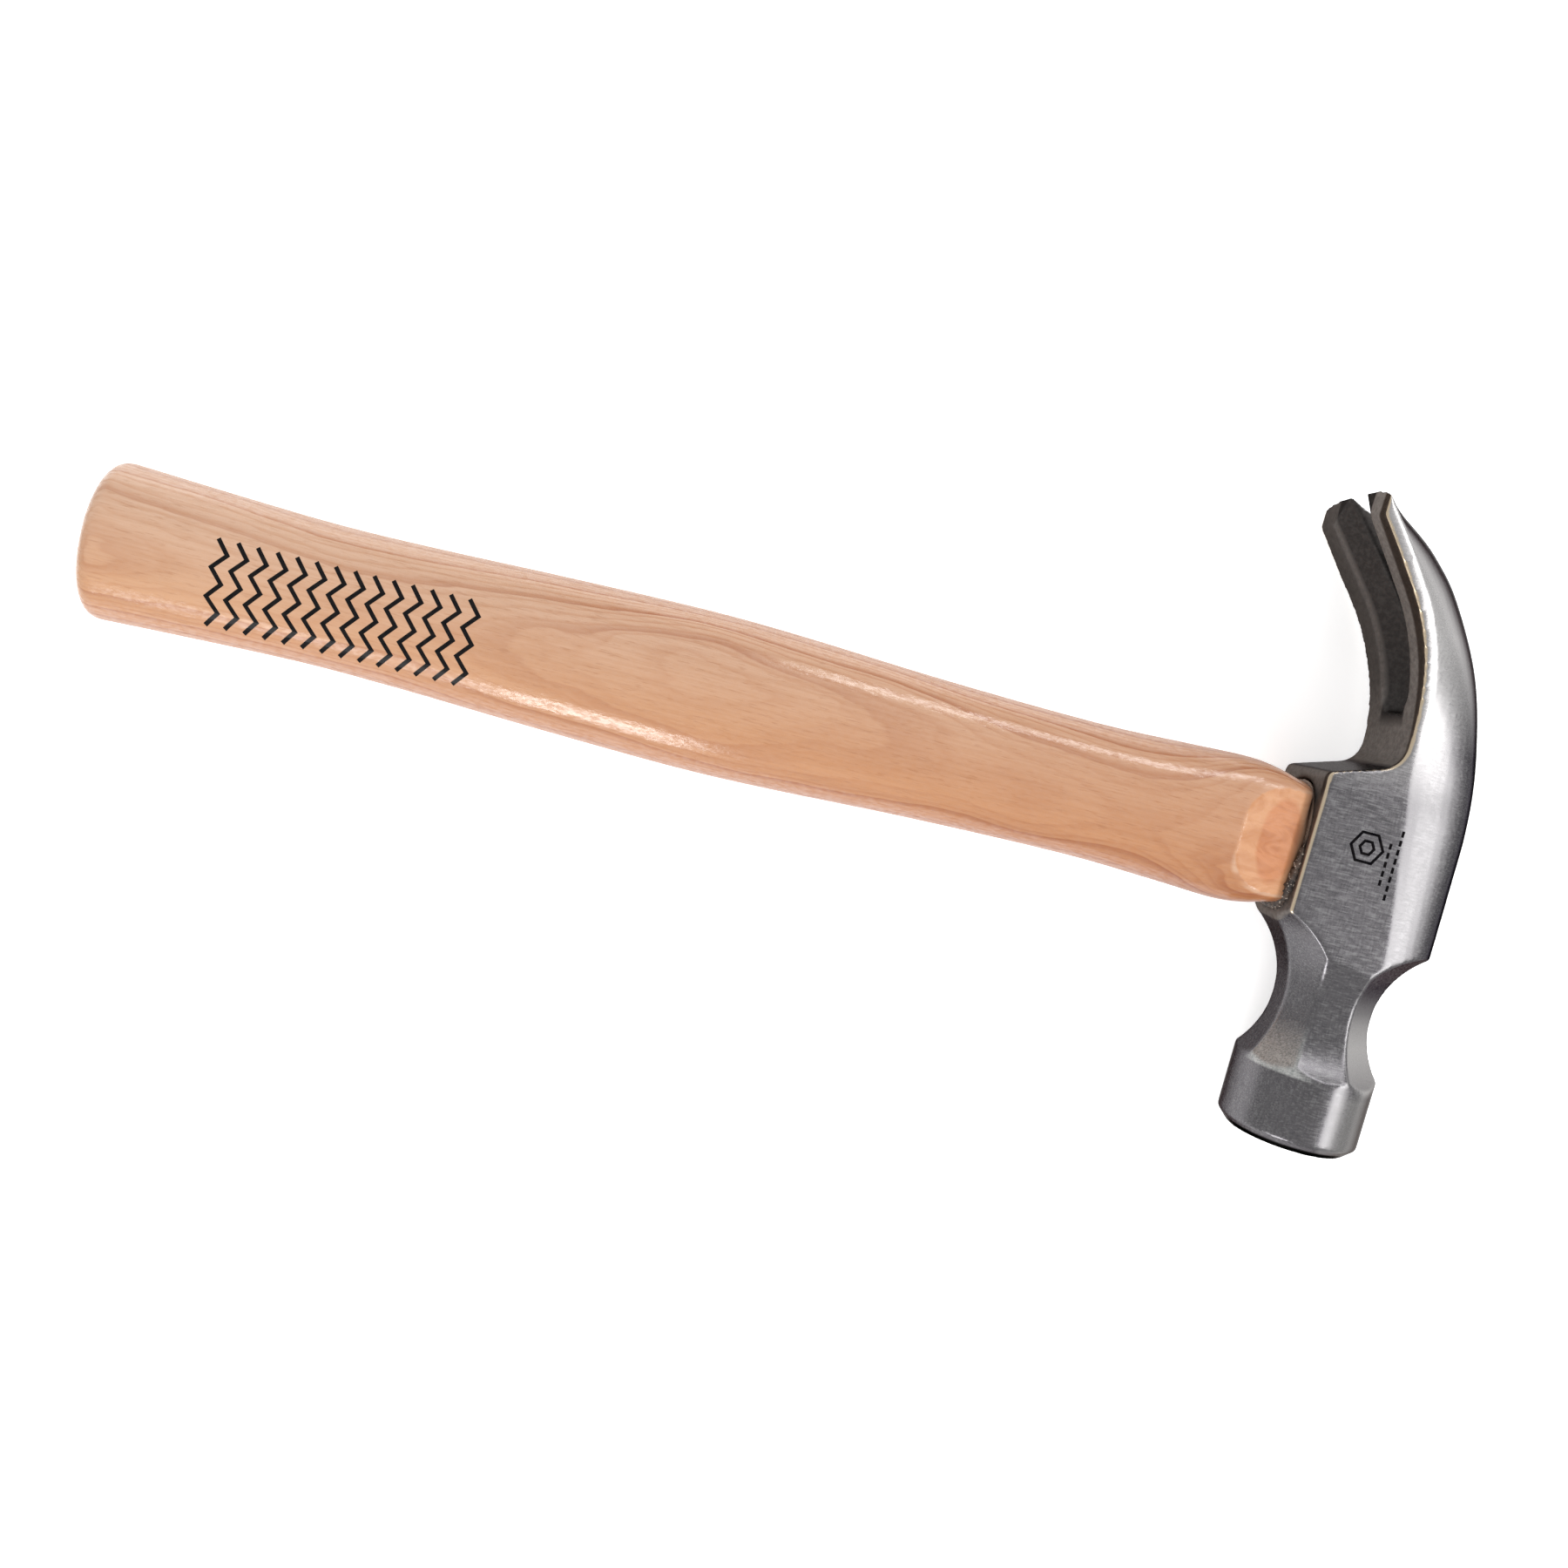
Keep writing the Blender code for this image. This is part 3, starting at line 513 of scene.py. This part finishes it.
def outlined(points, closed, half):
    """Left and right sides (x, y) of a flat line of one width, with mitred corners."""
    sides = []
    count = len(points)
    for index, point in enumerate(points):
        here = Vector(point)
        before = Vector(points[index - 1]) if index or closed else None
        after = Vector(points[(index + 1) % count]) if index < count - 1 or closed else None
        ways = [(b - a).normalized() for a, b in ((before, here), (here, after))
                if a is not None and b is not None]
        way = sum(ways, Vector((0, 0))).normalized()
        across = Vector((-way.y, way.x))
        spread = half / across.dot(Vector((-ways[0].y, ways[0].x)))
        sides.append((here + across * spread, here - across * spread))
    return sides


def printed(name, lines, half, surface, material):
    """Thin closed strips that lie on the upper side of a surface, such as ink or a stamp.
    Each line is (points in mm, closed), and `half` is half its width in mm."""
    tree = BVHTree.FromPolygons([v.co for v in surface.data.vertices],
                                [p.vertices for p in surface.data.polygons])
    shape = bmesh.new()

    def landed(flat):
        start = Vector((flat.x * MM, flat.y * MM, ABOVE_ALL))
        spot, normal, _, _ = tree.ray_cast(start, Vector((0, 0, -1)))
        return spot + normal * PRINT_RISE, spot - normal * PRINT_SINK

    for points, closed in lines:
        fine = []
        for a, b in zip(points, points[1:] + points[:1] if closed else points[1:]):
            steps = max(2, round((Vector(b) - Vector(a)).length / PRINT_STEP))
            fine += [tuple(Vector(a).lerp(Vector(b), step / steps)) for step in range(steps)]
        if not closed:
            fine.append(points[-1])
        rings = []
        for left, right in outlined(fine, closed, half):
            left_top, left_low = landed(left)
            right_top, right_low = landed(right)
            rings.append([shape.verts.new(co)
                          for co in (left_top, right_top, right_low, left_low)])
        skin_rings(shape, rings, closed)
    new_piece(name, finished_mesh(name, shape, material))


def squeezed_out(name, side, material):
    """A lumpy bead of adhesive pressed out under the handle's edge, on side +1 or -1 in Z."""
    shape = bmesh.new()
    rings = []
    for step in range(BEAD_STEPS + 1):
        share = step / BEAD_STEPS
        turn = math.radians(BEAD_TURN[0] + (BEAD_TURN[1] - BEAD_TURN[0]) * share)
        y = HANDLE_MIDDLE - BEAD_PATH[0] * abs(math.cos(turn)) ** 0.7
        z = HEAD_MIDDLE + side * BEAD_PATH[1] * max(0.0, math.sin(turn)) ** 0.7
        size = BEAD_RADII[0] + (BEAD_RADII[1] - BEAD_RADII[0]) * share
        size *= math.sin(math.pi * (0.05 + 0.90 * share)) ** 0.35       # round at both ends
        size *= 1 + 0.16 * math.sin(step * 2.3) + 0.11 * math.sin(step * 5.1 + 1.0)     # lumps
        away = Vector((0, -math.cos(turn), side * math.sin(turn)))
        ring = []
        for corner in range(BEAD_CORNERS):
            angle = 2 * math.pi * corner / BEAD_CORNERS
            radius = size * (1 + 0.10 * math.sin(3 * angle + step * 1.7))
            spot = Vector((UNDERSIDE - BEAD_BELOW, y, z)) + away * math.cos(angle) * radius
            spot.x -= math.sin(angle) * radius * BEAD_FLATNESS
            ring.append(shape.verts.new(spot * MM))
        rings.append(ring)
    skin_rings(shape, rings)
    mesh = finished_mesh(name, shape, material)
    mesh.shade_smooth()
    piece = new_piece(name, mesh)


def zigzags():
    """The rows of the grip's zigzag print."""
    lines = []
    for row in range(ZIGZAG_ROWS):
        x = ZIGZAG_START[0] + row * ZIGZAG_PITCH
        y = ZIGZAG_START[1] + row * ZIGZAG_CLIMB
        lines.append(([(x + ZIGZAG_SWING * (corner % 2), y - corner * ZIGZAG_DROP)
                       for corner in range(ZIGZAG_CORNERS)], False))
    return lines


def maker_mark():
    """A plain mark where a maker would stamp the cheek: two hexagons and two dashed rows."""
    cx, cy = MARK_CENTRE
    corners = [math.radians(60 * k) for k in range(6)]
    lines = [([(cx + size * math.cos(a), cy + size * math.sin(a)) for a in corners], True)
             for size in MARK_RADII]
    for x, start, dashes in MARK_ROWS:
        for k in range(dashes):
            y = start - k * DASH_PITCH
            lines.append(([(x, y), (x, y - DASH_LENGTH)], False))
    return lines


def dress(node, material):
    """Gives a CAD node that keeps its own mesh a better material."""
    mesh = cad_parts[node].data
    mesh.materials.clear()
    mesh.materials.append(material)


# ---- stage -------------------------------------------------------------------------------
def build_floor():
    bpy.ops.mesh.primitive_plane_add(size=FLOOR_SIZE, location=(0, 0, 0))
    floor = bpy.context.object
    floor.name = "floor"
    m = Nodes("floor")
    m.shader.inputs["Base Color"].default_value = rgb(1.0, 1.0, 1.0)
    m.shader.inputs["Roughness"].default_value = 0.9
    m.shader.inputs["Emission Color"].default_value = rgb(1.0, 1.0, 1.0)
    m.shader.inputs["Emission Strength"].default_value = FLOOR_GLOW
    m.shader.inputs["Specular IOR Level"].default_value = 0.0
    floor.data.materials.append(m.material)


def soft_light(name, place, target, size, power):
    data = bpy.data.lights.new(name, "AREA")
    data.shape = "RECTANGLE"
    data.size, data.size_y = size
    data.energy = power
    light = bpy.data.objects.new(name, data)
    light.location = place
    light.rotation_euler = (Vector(target) - Vector(place)).to_track_quat("-Z", "Y").to_euler()
    bpy.context.scene.collection.objects.link(light)


def build_lights():
    world = bpy.data.worlds.new("studio")
    bpy.context.scene.world = world
    world.use_nodes = True
    background = world.node_tree.nodes["Background"]
    background.inputs["Color"].default_value = rgb(1.0, 1.0, 1.0)
    background.inputs["Strength"].default_value = WORLD_STRENGTH
    for light in LIGHTS:
        soft_light(*light)


# ---- build -------------------------------------------------------------------------------
build_camera()
head = evenly_meshed("hammer_head", "head", forged_steel(), voxel=0.45 * MM, smoothing=3)
handle = evenly_meshed("handle", "wooden_handle", lacquered_wood(), voxel=0.58 * MM, smoothing=6)
glue = gritty_adhesive()
ring = evenly_meshed("eye_adhesive", "adhesive_ring", glue, voxel=0.25 * MM, smoothing=2)
squeezed_out("adhesive_bead_upper", 1, glue)
squeezed_out("adhesive_bead_lower", -1, glue)
dress("wood_wedge", raw_wood())
wedge_metal = wedge_steel()
for node in ("steel_wedge_1", "steel_wedge_2"):
    dress(node, wedge_metal)
grip_ink = black_ink("grip_ink", roughness=0.35, coat=0.2)
printed("grip_print", zigzags(), ZIGZAG_HALF_WIDTH, handle, grip_ink)
etched = black_ink("etched_mark", roughness=0.5, coat=0.0)
printed("cheek_mark", maker_mark(), MARK_HALF_WIDTH, head, etched)
build_floor()
build_lights()
bpy.context.scene.view_settings.view_transform = "Standard"
